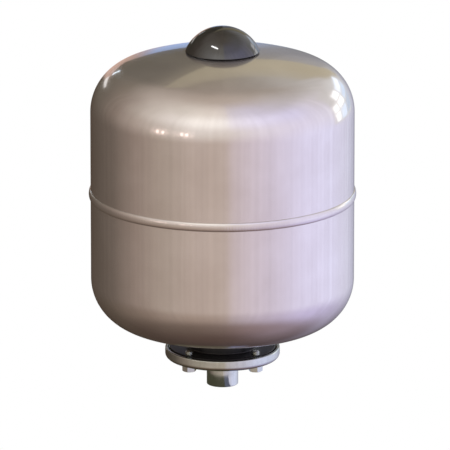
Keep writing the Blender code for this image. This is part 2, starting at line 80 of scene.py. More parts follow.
BODY_RADIUS = half_width("upper_shell")
SEAM = sum(heights("girth_weld")) / 2
BEAD_RADIUS = half_width("girth_weld")
BEAD_HALF = (heights("girth_weld")[1] - heights("girth_weld")[0]) / 2
WALL = 1.5 * MM
FIT = 0.3 * MM  # room left between parts that are pushed together
KNUCKLE = 51 * MM
CROWN = 320 * MM
UPPER_START = SEAM + 86 * MM
LOWER_START = SEAM - 89 * MM
LEAN = math.asin((BODY_RADIUS - KNUCKLE) / (CROWN - KNUCKLE))
HEAD_DEPTH = CROWN - (CROWN - KNUCKLE) * math.cos(LEAN)
TANK_TOP = UPPER_START + HEAD_DEPTH
TANK_BOTTOM = LOWER_START - HEAD_DEPTH

DISH_RADIUS = half_width("cover_flange")
DISH_BOTTOM, DISH_TOP = heights("cover_flange")
SHEET = 3 * MM
RING_RADIUS = half_width("neck_flange")
RING_BOTTOM, NECK_TOP = heights("neck_flange")
RING_TOP = RING_BOTTOM + 4.5 * MM
SOCKET_RADIUS = half_width("inlet_socket")
SOCKET_BORE = 12.05 * MM
NECK_RADIUS = 36.5 * MM
NECK_BORE = 31 * MM
BOLTS = [middle(f"flange_bolt_{i}") for i in range(1, 5)]
BOLT_BOTTOM, BOLT_TOP = heights("flange_bolt_1")
CAP_RADIUS = half_width("cover_cap")
CAP_RIM = TANK_TOP + 1.6 * MM - (CROWN - math.sqrt(CROWN**2 - CAP_RADIUS**2))
CAP_TOP = heights("cover_cap")[1]


# Shape makers.


def line(start, end, count):
    """Points evenly along a straight stretch, both ends in: start + t (end - start)."""
    t = np.linspace(0, 1, count)[:, None]
    return np.asarray(start, float) + t * (np.asarray(end, float) - np.asarray(start, float))


def arc(centre, radius, start, end, count):
    """Points on a circle: centre + radius (cos a, sin a), a in degrees from start to end."""
    a = np.radians(np.linspace(start, end, count))
    return np.asarray(centre, float) + radius * np.stack([np.cos(a), np.sin(a)], -1)


def rounded(points, radii, count=6):
    """A closed polygon whose corners are circle arcs.

    At a corner the arc starts radius / tan(half the corner angle) before it, and its
    points are turned evenly from the first tangent point to the second about the centre.
    """
    points = np.asarray(points, float)
    radii = np.broadcast_to(radii, len(points))
    found = []
    for i, corner in enumerate(points):
        if radii[i] <= 0:
            found.append(corner[None])
            continue
        before = points[i - 1] - corner
        after = points[(i + 1) % len(points)] - corner
        before, after = before / np.linalg.norm(before), after / np.linalg.norm(after)
        angle = math.acos(float(np.clip(before @ after, -1, 1)))
        reach = radii[i] / math.tan(angle / 2)
        inward = (before + after) / np.linalg.norm(before + after)
        centre = corner + inward * radii[i] / math.sin(angle / 2)
        first, last = corner + before * reach - centre, corner + after * reach - centre
        sweep = math.pi - angle
        t = np.linspace(0, 1, count)[:, None]
        found.append(centre + (np.sin((1 - t) * sweep) * first + np.sin(t * sweep) * last) / math.sin(sweep))
    return np.concatenate(found)


def turn(profile, segments=192, change=None):
    """A profile of (r, z) points carried round Z: (r cos a, r sin a, z) on a grid of points by angles.

    change, where given, turns r, z and a into the new r and z of every grid point.
    """
    profile = np.asarray(profile, float)
    a = np.linspace(0, TAU, segments, endpoint=False)[None, :]
    r = np.repeat(profile[:, :1], segments, 1)
    z = np.repeat(profile[:, 1:], segments, 1)
    if change:
        r, z = change(r, z, a)
    return np.stack([r * np.cos(a), r * np.sin(a), z], -1)


def tube(path, radius, sides=12):
    """A round tube on a path: path + radius (cos b n + sin b m), n and m square to the path's tangent."""
    tangent = np.gradient(path, axis=0)
    tangent /= np.linalg.norm(tangent, axis=1, keepdims=True)
    n = np.cross(tangent, (0.0, 0.0, 1.0))
    n /= np.linalg.norm(n, axis=1, keepdims=True)
    m = np.cross(tangent, n)
    b = np.linspace(0, TAU, sides, endpoint=False)
    ring = np.cos(b)[None, :, None] * n[:, None] + np.sin(b)[None, :, None] * m[:, None]
    radius = np.broadcast_to(radius, len(path))
    return path[:, None] + radius[:, None, None] * ring


def smooth(t):
    """0 below 0, 1 above 1, and t t (3 - 2 t) between."""
    t = np.clip(t, 0, 1)
    return t * t * (3 - 2 * t)


def waves(a, seed, turns, size):
    """Uneven ripple round a ring: a sum of seeded sines of the angle, scaled to a usual height of size."""
    made = np.random.default_rng(seed)
    total = 0.0
    for n in turns:
        phase, _, share = made.uniform((0, -1, 0.5), (TAU, 1, 1.0))  # the middle draw is spare
        total = total + np.sin(n * a + phase) * share
    return size * total / math.sqrt(len(turns))


def thread(radius, depth, pitch, bottom, top, fade, outside=True):
    """A helical groove on the stretch of a profile that has this radius.

    The groove's depth is depth ((1 + cos(tau (z / pitch - a / tau))) / 2) to the power 0.8,
    fading out over fade at both ends. It goes inwards on a male thread and outwards on a female one.
    """

    def change(r, z, a):
        wave = ((1 + np.cos(TAU * z / pitch - a)) / 2) ** 0.8
        ends = smooth((z - bottom) / fade) * smooth((top - z) / fade)
        on = np.abs(r - radius) < 0.01 * MM
        return np.where(on, r + (-1 if outside else 1) * depth * wave * ends, r), z

    return change


def hexagon(flats, chamfer_z, sign, face):
    """Radius of a hexagon with a coned end.

    It is the lesser of flats / 2 / cos(angle from the nearest flat's middle) and a 30 degree cone.
    """

    def radius(z, a, turned=0.0):
        from_flat = (a - turned + math.radians(30)) % math.radians(60) - math.radians(30)
        prism = flats / 2 / np.cos(from_flat)
        cone = flats / 2 * face + sign * (z - chamfer_z) * math.tan(math.radians(60))
        return np.minimum(prism, cone)

    return radius


def faces_of(rows, columns, loop, start=0):
    """Quads between neighbouring grid points. The last column joins the first; with loop the rows join too."""
    a, b = np.meshgrid(np.arange(rows if loop else rows - 1), np.arange(columns), indexing="ij")
    c, d = (a + 1) % rows, (b + 1) % columns
    quads = np.stack([a * columns + b, a * columns + d, c * columns + d, c * columns + b], -1)
    return quads.reshape(-1, 4) + start


def put(name, data):
    """A new object for a mesh, lamp or camera, linked into the scene."""
    obj = bpy.data.objects.new(name, data)
    bpy.context.scene.collection.objects.link(obj)
    return obj


def piece(name, grids, body, nodes, finish, crease=CREASE, loop=True):
    """One mesh from point grids: doubles merged, faces outward, sharp only at edges past crease degrees."""
    points, quads, start = [], [], 0
    for grid in grids:
        rows, columns = grid.shape[:2]
        points.append(grid.reshape(-1, 3))
        quads.append(faces_of(rows, columns, loop, start))
        start += rows * columns
    points, quads = np.concatenate(points), np.concatenate(quads)
    mesh = bpy.data.meshes.new(name)
    mesh.from_pydata(points, [], quads)
    shape = bmesh.new()
    shape.from_mesh(mesh)
    bmesh.ops.remove_doubles(shape, verts=shape.verts, dist=0.2e-6)
    bmesh.ops.dissolve_degenerate(shape, edges=shape.edges, dist=0.1e-6)
    bmesh.ops.recalc_face_normals(shape, faces=shape.faces)
    shape.to_mesh(mesh)
    shape.free()
    mesh.shade_smooth()
    mesh.set_sharp_from_angle(angle=math.radians(crease))
    obj = put(name, mesh)
    mesh.materials.append(finish)
    weighted = obj.modifiers.new("even_normals", "WEIGHTED_NORMAL")
    weighted.keep_sharp = True
    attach(obj, body)
    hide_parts(*nodes)
    return obj


def drill(obj, places, radius, bottom, top):
    """Cuts round holes through a finished piece and keeps its creases."""
    rings = []
    for x, y in places:
        wall = turn([(0, bottom), (radius, bottom), (radius, top), (0, top)], 48)
        rings.append(wall + np.array((x, y, 0)))
    cutter = piece("cutter", rings, "vessel", (), None, loop=False)
    cut = obj.modifiers.new("holes", "BOOLEAN")
    cut.operation, cut.solver, cut.object = "DIFFERENCE", "EXACT", cutter
    obj.modifiers.move(len(obj.modifiers) - 1, 0)
    weighted = obj.modifiers["even_normals"]
    weighted.show_viewport = False
    seen = obj.evaluated_get(bpy.context.evaluated_depsgraph_get())
    mesh = bpy.data.meshes.new_from_object(seen)
    finish = obj.data.materials[0]
    obj.modifiers.remove(cut)
    weighted.show_viewport = True
    obj.data = mesh
    mesh.materials.clear()
    mesh.materials.append(finish)
    mesh.shade_smooth()
    mesh.set_sharp_from_angle(angle=math.radians(CREASE))
    bpy.data.objects.remove(cutter)
    return obj


# Finishes.


def colour(hexcode):
    """An sRGB hex value as the linear colour that shaders take."""
    values = [int(hexcode[i : i + 2], 16) / 255 for i in (0, 2, 4)]
    return (*[v / 12.92 if v <= 0.04045 else ((v + 0.055) / 1.055) ** 2.4 for v in values], 1.0)


def add_node(tree, kind, links=(), stops=None, **settings):
    """Adds a node with its settings.

    links gives each input a value or another node's output, and stops fills a colour ramp.
    """
    made = tree.nodes.new(kind)
    for key, value in settings.items():
        setattr(made, key, value)
    for key, value in dict(links).items():
        if isinstance(value, bpy.types.NodeSocket):
            tree.links.new(value, made.inputs[key])
        else:
            made.inputs[key].default_value = value
    if stops:
        elements = made.color_ramp.elements
        while len(elements) > len(stops):
            elements.remove(elements[-1])
        while len(elements) < len(stops):
            elements.new(1.0)
        for element, (place, value) in zip(elements, sorted(stops)):
            element.position = place
            element.color = value
    return made


def empty_material(name):
    """A material with no nodes yet, and its tree."""
    made = bpy.data.materials.new(name)
    made.use_nodes = True
    made.node_tree.nodes.clear()
    return made, made.node_tree


def new_finish(name):
    """An empty material, its tree, and the Object coordinates that its patterns are drawn on."""
    made, tree = empty_material(name)
    return made, tree, add_node(tree, "ShaderNodeTexCoord").outputs["Object"]


def close_finish(tree, **inputs):
    """The surface shader, its sockets given by name with underscores for spaces, on the material's output."""
    shader = add_node(tree, "ShaderNodeBsdfPrincipled", {k.replace("_", " "): v for k, v in inputs.items()})
    add_node(tree, "ShaderNodeOutputMaterial", {"Surface": shader.outputs["BSDF"]})


def silver_enamel(name, rough=0.23, peel=1.0):
    """Baked silver grey enamel sprayed on pressed steel: aluminium flake under a clear gloss, so broad soft
    reflections lie under small sharp ones. The spray dries with a fine orange peel, 3 mm from dimple to dimple,
    and the pressed sheet is a little uneven over 60 mm."""
    made, tree, place = new_finish(name)
    peel_noise = add_node(tree, "ShaderNodeTexNoise", {"Vector": place, "Scale": 330.0, "Detail": 2.0})
    sheet_noise = add_node(tree, "ShaderNodeTexNoise", {"Vector": place, "Scale": 16.0, "Detail": 1.0})
    flake = add_node(tree, "ShaderNodeTexNoise", {"Vector": place, "Scale": 1400.0, "Detail": 1.0})
    cloud = add_node(tree, "ShaderNodeTexNoise", {"Vector": place, "Scale": 22.0, "Detail": 3.0})
    tint = add_node(
        tree, "ShaderNodeValToRGB", {"Fac": cloud.outputs["Fac"]},
        stops=[(0.35, colour("c3bdb8")), (0.65, colour("cbc6c2"))]
    )
    spark = add_node(
        tree, "ShaderNodeMapRange",
        {
            "Value": flake.outputs["Fac"], "From Min": 0.3, "From Max": 0.7, "To Min": rough - 0.01,
            "To Max": rough + 0.01
        }
    )
    wave = add_node(
        tree, "ShaderNodeBump", {"Height": sheet_noise.outputs["Fac"], "Distance": 0.2 * MM, "Strength": 1.0}
    )
    skin = add_node(
        tree, "ShaderNodeBump",
        {
            "Height": peel_noise.outputs["Fac"], "Distance": 0.0015 * MM * peel, "Strength": 1.0,
            "Normal": wave.outputs["Normal"]
        }
    )
    close_finish(
        tree,
        Base_Color=tint.outputs["Color"],
        Metallic=0.85,
        Roughness=spark.outputs["Result"],
        Normal=skin.outputs["Normal"],
        Coat_Weight=1.0,
        Coat_Roughness=0.015,
        Coat_IOR=2.0,
        Coat_Normal=skin.outputs["Normal"],
    )
    return made


def zinc_plating(name):
    """Bright zinc electroplate on pressed steel: a cool blue-grey mirror dulled by handling, with faint
    clouded patches about 8 mm wide."""
    made, tree, place = new_finish(name)
    cloud = add_node(tree, "ShaderNodeTexNoise", {"Vector": place, "Scale": 120.0, "Detail": 4.0})
    grain = add_node(tree, "ShaderNodeTexNoise", {"Vector": place, "Scale": 900.0, "Detail": 2.0})
    tint = add_node(
        tree, "ShaderNodeValToRGB", {"Fac": cloud.outputs["Fac"]},
        stops=[(0.3, colour("b4bab4")), (0.7, colour("c0c6c1"))]
    )
    rough = add_node(
        tree, "ShaderNodeMapRange",
        {"Value": cloud.outputs["Fac"], "From Min": 0.3, "From Max": 0.7, "To Min": 0.19, "To Max": 0.12}
    )
    skin = add_node(
        tree, "ShaderNodeBump", {"Height": grain.outputs["Fac"], "Distance": 0.002 * MM, "Strength": 0.6}
    )
    close_finish(
        tree, Base_Color=tint.outputs["Color"], Metallic=1.0, Roughness=rough.outputs["Result"],
        Normal=skin.outputs["Normal"]
    )
    return made


def black_lacquer(name):
    """Black stoving lacquer on a turned steel ring: deep gloss, with dust specks about 1 mm apart."""
    made, tree, place = new_finish(name)
    dust = add_node(tree, "ShaderNodeTexNoise", {"Vector": place, "Scale": 700.0, "Detail": 3.0})
    tint = add_node(
        tree, "ShaderNodeValToRGB", {"Fac": dust.outputs["Fac"]},
        stops=[(0.5, colour("0e0f10")), (0.8, colour("1c1d1e"))]
    )
    rough = add_node(tree, "ShaderNodeMapRange", {"Value": dust.outputs["Fac"], "To Min": 0.3, "To Max": 0.42})
    skin = add_node(
        tree, "ShaderNodeBump", {"Height": dust.outputs["Fac"], "Distance": 0.003 * MM, "Strength": 0.5}
    )
    close_finish(
        tree, Base_Color=tint.outputs["Color"], Roughness=rough.outputs["Result"], IOR=1.45,
        Normal=skin.outputs["Normal"]
    )
    return made


def glossy_abs(name):
    """Black ABS moulded in a polished tool: a dark mirror, very slightly wavy over 15 mm where it shrank."""
    made, tree, place = new_finish(name)
    shrink = add_node(tree, "ShaderNodeTexNoise", {"Vector": place, "Scale": 60.0, "Detail": 1.0})
    scuff = add_node(tree, "ShaderNodeTexNoise", {"Vector": place, "Scale": 260.0, "Detail": 4.0})
    tint = add_node(
        tree, "ShaderNodeValToRGB", {"Fac": scuff.outputs["Fac"]},
        stops=[(0.4, colour("0c0d0c")), (0.7, colour("131412"))]
    )
    rough = add_node(
        tree, "ShaderNodeMapRange",
        {"Value": scuff.outputs["Fac"], "From Min": 0.4, "From Max": 0.8, "To Min": 0.06, "To Max": 0.11}
    )
    skin = add_node(
        tree, "ShaderNodeBump", {"Height": shrink.outputs["Fac"], "Distance": 0.03 * MM, "Strength": 1.0}
    )
    close_finish(
        tree, Base_Color=tint.outputs["Color"], Roughness=rough.outputs["Result"], IOR=1.8,
        Normal=skin.outputs["Normal"]
    )
    return made


def moulded_nylon(name):
    """Black nylon moulded in a spark-eroded tool: satin, with a fine grain of about 0.5 mm."""
    made, tree, place = new_finish(name)
    grain = add_node(tree, "ShaderNodeTexNoise", {"Vector": place, "Scale": 2200.0, "Detail": 2.0})
    tint = add_node(
        tree, "ShaderNodeValToRGB", {"Fac": grain.outputs["Fac"]},
        stops=[(0.3, colour("1d1d1d")), (0.7, colour("282828"))]
    )
    skin = add_node(
        tree, "ShaderNodeBump", {"Height": grain.outputs["Fac"], "Distance": 0.02 * MM, "Strength": 0.7}
    )
    close_finish(
        tree, Base_Color=tint.outputs["Color"], Roughness=0.45, IOR=1.53, Normal=skin.outputs["Normal"]
    )
    return made


def vulcanised_rubber(name, scale=500.0):
    """Black rubber cured in a steel mould: matt, with bloom that greys it in patches and a fine tool grain."""
    made, tree, place = new_finish(name)
    bloom = add_node(tree, "ShaderNodeTexNoise", {"Vector": place, "Scale": 70.0, "Detail": 4.0})
    grain = add_node(tree, "ShaderNodeTexNoise", {"Vector": place, "Scale": scale, "Detail": 3.0})
    tint = add_node(
        tree, "ShaderNodeValToRGB", {"Fac": bloom.outputs["Fac"]},
        stops=[(0.35, colour("1e1e1f")), (0.7, colour("333232"))]
    )
    rough = add_node(
        tree, "ShaderNodeMapRange", {"Value": bloom.outputs["Fac"], "To Min": 0.52, "To Max": 0.72}
    )
    skin = add_node(
        tree, "ShaderNodeBump", {"Height": grain.outputs["Fac"], "Distance": 0.05 * MM, "Strength": 0.6}
    )
    close_finish(
        tree, Base_Color=tint.outputs["Color"], Roughness=rough.outputs["Result"], IOR=1.52,
        Normal=skin.outputs["Normal"]
    )
    return made


def turned_metal(name, dark, light, rough, pitch):
    """Metal turned on a lathe: the feed leaves rings round the axis, so the gloss breaks into fine lines.
    pitch is the distance between the rings that show, coarser than the real feed of about 0.1 mm."""
    made, tree, place = new_finish(name)
    rings = add_node(
        tree, "ShaderNodeTexWave", {"Vector": place, "Scale": 1 / pitch, "Distortion": 1.5, "Detail": 2.0},
        wave_type="BANDS", bands_direction="Z"
    )
    stain = add_node(tree, "ShaderNodeTexNoise", {"Vector": place, "Scale": 300.0, "Detail": 4.0})
    tint = add_node(
        tree, "ShaderNodeValToRGB", {"Fac": stain.outputs["Fac"]},
        stops=[(0.3, colour(dark)), (0.7, colour(light))]
    )
    roughness = add_node(
        tree, "ShaderNodeMapRange",
        {"Value": stain.outputs["Fac"], "To Min": rough - 0.06, "To Max": rough + 0.08}
    )
    skin = add_node(
        tree, "ShaderNodeBump", {"Height": rings.outputs["Fac"], "Distance": 0.008 * MM, "Strength": 0.6}
    )
    close_finish(
        tree, Base_Color=tint.outputs["Color"], Metallic=1.0, Roughness=roughness.outputs["Result"],
        Normal=skin.outputs["Normal"]
    )
    return made


# Tank.


def head(start, sign, inset, hole, crown_points=72, knuckle_points=56):
    """A dished head as a profile from its hole outwards: a crown sphere, then a knuckle at the same slope.

    Crown: r = R sin b, z = c + R cos b. Knuckle: r = offset + k sin b, z = k cos b, b going on from the lean
    to 90 degrees.
    """
    offset = BODY_RADIUS - KNUCKLE
    crown, knuckle = CROWN - inset, KNUCKLE - inset
    centre = -(CROWN - KNUCKLE) * math.cos(LEAN)
    b = np.linspace(math.asin(hole / crown), LEAN, crown_points)[:-1]
    c = np.linspace(LEAN, math.pi / 2, knuckle_points)
    r = np.concatenate([crown * np.sin(b), offset + knuckle * np.sin(c)])
    z = np.concatenate([centre + crown * np.cos(b), knuckle * np.cos(c)])
    return np.stack([r, start + sign * z], -1)


def make_upper_shell(finish):
    """The upper half: crown, knuckle and straight side, and the same again a wall's thickness inside."""
    hole = 9.3 * MM
    edge = SEAM + 0.15 * MM
    outer = head(UPPER_START, 1, 0, hole)
    inner = head(UPPER_START, 1, WALL, hole)
    side = line((BODY_RADIUS, UPPER_START), (BODY_RADIUS, edge), 24)[1:]
    back = line((BODY_RADIUS - WALL, edge), (BODY_RADIUS - WALL, UPPER_START), 8)[:-1]
    profile = np.concatenate([outer, side, back, inner[::-1]])
    return piece("upper_shell_pressing", [turn(profile, 256)], "vessel", ["upper_shell"], finish)


def make_lower_shell(finish):
    """The lower half, with the joggled rim that enters the upper half under the weld."""
    hole = NECK_RADIUS + FIT
    shoulder = SEAM - 0.15 * MM
    outer = head(LOWER_START, -1, 0, hole)
    inner = head(LOWER_START, -1, WALL, hole)
    lap = BODY_RADIUS - WALL - FIT
    side = line((BODY_RADIUS, LOWER_START), (BODY_RADIUS, shoulder - 1 * MM), 24)[1:]
    step = line((BODY_RADIUS - 0.1 * MM, shoulder), (lap, shoulder + 0.4 * MM), 4)
    rim = line((lap, shoulder + 1.2 * MM), (lap, SEAM + 9 * MM), 4)
    inside = line((lap - WALL, SEAM + 9 * MM), (lap - WALL, shoulder - 2 * WALL), 4)
    back = line((BODY_RADIUS - WALL, shoulder - 3 * WALL), (BODY_RADIUS - WALL, LOWER_START), 8)[:-1]
    profile = np.concatenate([outer, side, step, rim, inside, back, inner[::-1]])
    return piece("lower_shell_pressing", [turn(profile, 256)], "vessel", ["lower_shell"], finish)


def make_girth_weld(finish):
    """The weld round the seam: r = root + crown sin b, z = seam + half cos b.

    Its height and width wander, with ripples 3 mm apart where the pool froze.
    """
    half, crown = BEAD_HALF - 0.16 * MM, BEAD_RADIUS - BODY_RADIUS
    root = BODY_RADIUS + 0.05 * MM
    b = np.radians(np.linspace(0, 180, 25))
    profile = np.stack([root + (crown - 0.15 * MM) * np.sin(b), SEAM + half * np.cos(b)], -1)
    back = line((root, SEAM - half), (root, SEAM + half), 3)

    def change(r, z, a):
        proud = np.clip((r - BODY_RADIUS - 0.05 * MM) / crown, 0, 1)
        up = (z - SEAM) / half
        edge = waves(a, 3, (5, 11, 17, 29, 43, 61, 97), 0.06 * MM)
        drift = waves(a, 5, (2, 3, 7, 13), 0.06 * MM)
        lift = waves(a, 7, (9, 19, 31, 53, 89), 0.02 * MM)
        frozen = 0.035 * MM * np.sin(283 * a + 2.2 * (1 - up * up) + waves(a, 9, (7, 15, 27), 0.5))
        return r + proud * (lift + frozen), z + drift + edge * up

    grid = turn(np.concatenate([profile, back]), 1440, change)
    return piece("girth_weld_bead", [grid], "vessel", ["girth_weld"], finish, crease=50)


def hollow_face(low, pull, out, count):
    """The hollow face of a fillet: low (1 - t)^2 + 2 t (1 - t) pull + out t^2."""
    t = np.linspace(0, 1, count)[:, None]
    return np.asarray(low) * (1 - t) ** 2 + 2 * t * (1 - t) * np.asarray(pull) + np.asarray(out) * t**2


def make_neck_weld(finish):
    """Fillet between the neck and the lower head, hollow in its middle and rippled."""
    inside = NECK_RADIUS + FIT
    outside = inside + 3 * MM
    top, edge = (TANK_BOTTOM - FIT + (CROWN - math.sqrt(CROWN**2 - r * r)) for r in (inside, outside))
    bow = hollow_face((inside, top - 3 * MM), (inside + 1.2 * MM, top - 1.1 * MM), (outside, edge), 12)
    profile = np.concatenate([bow, [(inside, top)]])

    def change(r, z, a):
        depth = smooth((r - inside) / (1 * MM)) * smooth((outside - r) / (0.8 * MM))
        return r, z - depth * 0.12 * MM * (1 + np.sin(92 * a + waves(a, 21, (5, 9), 0.6)))

    return piece(
        "neck_weld_fillet", [turn(profile, 736, change)], "vessel", ["neck_weld"], finish,
        crease=60
    )


# Flange.


def make_neck_flange(finish):
    """Turned ring with a short neck: every corner is broken by a small radius."""
    corners = [
        (NECK_BORE, NECK_TOP),
        (NECK_RADIUS, NECK_TOP),
        (NECK_RADIUS, RING_TOP),
        (RING_RADIUS, RING_TOP),
        (RING_RADIUS, RING_BOTTOM),
        (NECK_BORE, RING_BOTTOM),
    ]
    radii = [0.5 * MM, 0.5 * MM, 1.2 * MM, 0.7 * MM, 0.5 * MM, 0.5 * MM]
    made = piece(
        "neck_flange_ring", [turn(rounded(corners, radii), 192)], "vessel", ["neck_flange"],
        finish
    )
    return drill(made, BOLTS, 4.3 * MM, RING_BOTTOM - MM, RING_TOP + MM)


def make_cover_flange(finish):
    """Pressed dish: a flat floor, a rolled corner and a short upright rim with a soft sheared edge."""
    hole = SOCKET_RADIUS + FIT
    inside = DISH_RADIUS - SHEET
    corners = [
        (inside, DISH_TOP),
        (DISH_RADIUS, DISH_TOP),
        (DISH_RADIUS, DISH_BOTTOM),
        (hole, DISH_BOTTOM),
        (hole, DISH_BOTTOM + SHEET),
        (inside, DISH_BOTTOM + SHEET),
    ]
    radii = [0.6 * MM, 1.1 * MM, 4.8 * MM, 0.4 * MM, 0.4 * MM, 1.8 * MM]
    made = piece(
        "cover_flange_dish", [turn(rounded(corners, radii, 10), 192)], "vessel", ["cover_flange"],
        finish
    )
    return drill(made, BOLTS, 4.5 * MM, DISH_BOTTOM - MM, DISH_BOTTOM + SHEET + MM)


def make_inlet_socket(finish):
    """Pipe socket with a female pipe thread, 1.814 mm from crest to crest and 1.16 mm deep."""
    top = DISH_BOTTOM + SHEET
    end = rounded(
        [(SOCKET_BORE, 0), (SOCKET_RADIUS, 0), (SOCKET_RADIUS, top), (SOCKET_BORE, top)],
        [0, 0.9 * MM, 0.4 * MM, 0.3 * MM]
    )
    outer = end[1:]
    bore = line((SOCKET_BORE, top - 0.6 * MM), (SOCKET_BORE, 1.2 * MM), 236)
    mouth = line((SOCKET_BORE + 0.15 * MM, 1.0 * MM), (SOCKET_BORE + 1.1 * MM, 0.0), 4)
    cut = thread(SOCKET_BORE, 1.16 * MM, 1.814 * MM, -1 * MM, 19 * MM, 2.5 * MM, outside=False)
    grid = turn(np.concatenate([outer, bore, mouth]), 128, cut)
    return piece("pipe_socket_threaded", [grid], "vessel", ["inlet_socket"], finish, crease=50)


def make_inlet_weld(finish):
    """Small fillet between socket and dish, with the ripples of a hand-run weld."""
    inside, top = SOCKET_RADIUS + FIT, DISH_BOTTOM - FIT
    outside = inside + 2.5 * MM
    bow = hollow_face((inside, top - 2.5 * MM), (inside + 1.1 * MM, top - 1.0 * MM), (outside, top), 10)

    def change(r, z, a):
        depth = smooth((r - inside) / (0.8 * MM)) * smooth((outside - r) / (0.7 * MM))
        return r, z - depth * 0.1 * MM * (1 + np.sin(48 * a + waves(a, 33, (3, 7), 0.7)))

    grid = turn(np.concatenate([bow, [(inside, top)]]), 384, change)
    return piece("socket_weld_fillet", [grid], "vessel", ["inlet_weld"], finish, crease=60)


def make_flange_bolts(finish):
    """Hexagon bolts, 13 mm across flats, with coned heads and a rolled M8 thread of 1.25 mm pitch."""
    face, flat = BOLT_BOTTOM + 5.3 * MM, 13 * MM
    recess = BOLT_BOTTOM + 0.25 * MM
    head_radius = hexagon(flat, BOLT_BOTTOM, 1, 0.955)
    middle_dip = [(0, recess), (4.6 * MM, recess), (5.0 * MM, BOLT_BOTTOM)]
    cone = line((1, BOLT_BOTTOM), (1, BOLT_BOTTOM + 0.8 * MM), 9)
    side = line((1, BOLT_BOTTOM + 1.4 * MM), (1, face), 4)
    under = [(flat / 2 * 0.9, face), (4.0 * MM, face)]
    shank = line((3.95 * MM, face + 0.2 * MM), (3.95 * MM, BOLT_TOP - 0.7 * MM), 148)
    end = line((3.75 * MM, BOLT_TOP - 0.55 * MM), (3.2 * MM, BOLT_TOP), 4)
    profile = np.concatenate([middle_dip, cone, side, under, shank, end, [(0, BOLT_TOP)]])
    groove = thread(3.95 * MM, 0.6 * MM, 1.25 * MM, face + 0.5 * MM, BOLT_TOP + 2 * MM, 1.2 * MM)
    for i, (x, y) in enumerate(BOLTS):
        turned = math.radians(15 if x > 0 else -15)

        def change(r, z, a, turned=turned):
            r, z = groove(r, z, a)
            return np.where(r > 0.5, head_radius(z, a, turned), r), z

        grid = turn(profile, 144, change) + np.array((x, y, 0))
        piece(
            f"flange_bolt_hex_{i + 1}", [grid], "vessel", [f"flange_bolt_{i + 1}"], finish,
            crease=25, loop=False
        )


def make_bladder(finish):
    """Pear-shaped rubber bag, open at its neck, with the lip that the flange clamps and two moulded seams.

    Side: r = belly sin b, z = middle + half cos b, from the pole down to the neck.
    """
    wall = 2 * MM
    low, high = heights("bladder")
    lip_top = low + 4 * MM
    neck = 30.4 * MM
    lip = 43.1 * MM
    belly = half_width("bladder")
    neck_top = TANK_BOTTOM + CROWN - math.sqrt(CROWN**2 - NECK_RADIUS**2) + 20 * MM
    centre, half = (neck_top + high) / 2, (high - neck_top) / 2

    def side(inset):
        b = np.linspace(0, math.pi - math.asin((neck - inset) / (belly - inset)), 90)
        return np.stack([(belly - inset) * np.sin(b), centre + (half - inset) * np.cos(b)], -1)

    flange = rounded(
        [(neck, lip_top), (lip, lip_top), (lip, low), (neck - wall, low)], [0, 0.9 * MM, 0.9 * MM, 0.6 * MM]
    )
    profile = np.concatenate(
        [side(0), line((neck, neck_top - 16 * MM), (neck, lip_top + 3 * MM), 6), flange, side(wall)[::-1]]
    )

    def change(r, z, a):
        seam = np.exp(-((np.minimum(a % math.pi, math.pi - a % math.pi) * r / (0.9 * MM)) ** 2))
        outside = r > neck - 0.1 * MM
        upper = smooth((z - neck_top) / (20 * MM)) * smooth((r - 20 * MM) / (20 * MM))
        return r - np.where(outside, 0.5 * MM * (1 - seam) * upper, 0), z

    return piece(
        "water_bag", [turn(profile, 192, change)], "vessel", ["bladder"], finish, loop=False
    )


# Air valve.

BOSS_LOW, BOSS_TOP = heights("valve_boss")
STEM_LOW, STEM_MOUTH = heights("valve_stem")
CORE_LOW, CORE_TOP = heights("valve_core_body")
VALVE_PITCH = 0.794 * MM


def make_valve_boss(finish):
    """Turned boss through the top of the tank: a foot inside, and a counterbore for the O-ring above."""
    foot_low = TANK_TOP - (CROWN - math.sqrt(CROWN**2 - (13 * MM) ** 2)) - WALL - 2.8 * MM
    corners = [
        (9 * MM, BOSS_TOP),
        (9 * MM, foot_low + 2.5 * MM),
        (13 * MM, foot_low + 2.5 * MM),
        (13 * MM, foot_low),
        (9 * MM, foot_low),
        (9 * MM, BOSS_LOW),
        (5.15 * MM, BOSS_LOW),
        (5.15 * MM, BOSS_TOP - 1.4 * MM),
        (7.0 * MM, BOSS_TOP - 1.4 * MM),
        (7.0 * MM, BOSS_TOP),
    ]
    radii = [
        0.5 * MM, 0.3 * MM, 0.4 * MM, 0.4 * MM, 0.3 * MM, 0.4 * MM, 0.3 * MM, 0.1 * MM, 0.1 * MM, 0.15 * MM
    ]
    return piece(
        "valve_boss_turned", [turn(rounded(corners, radii), 128)], "vessel", ["valve_boss"],
        finish
    )


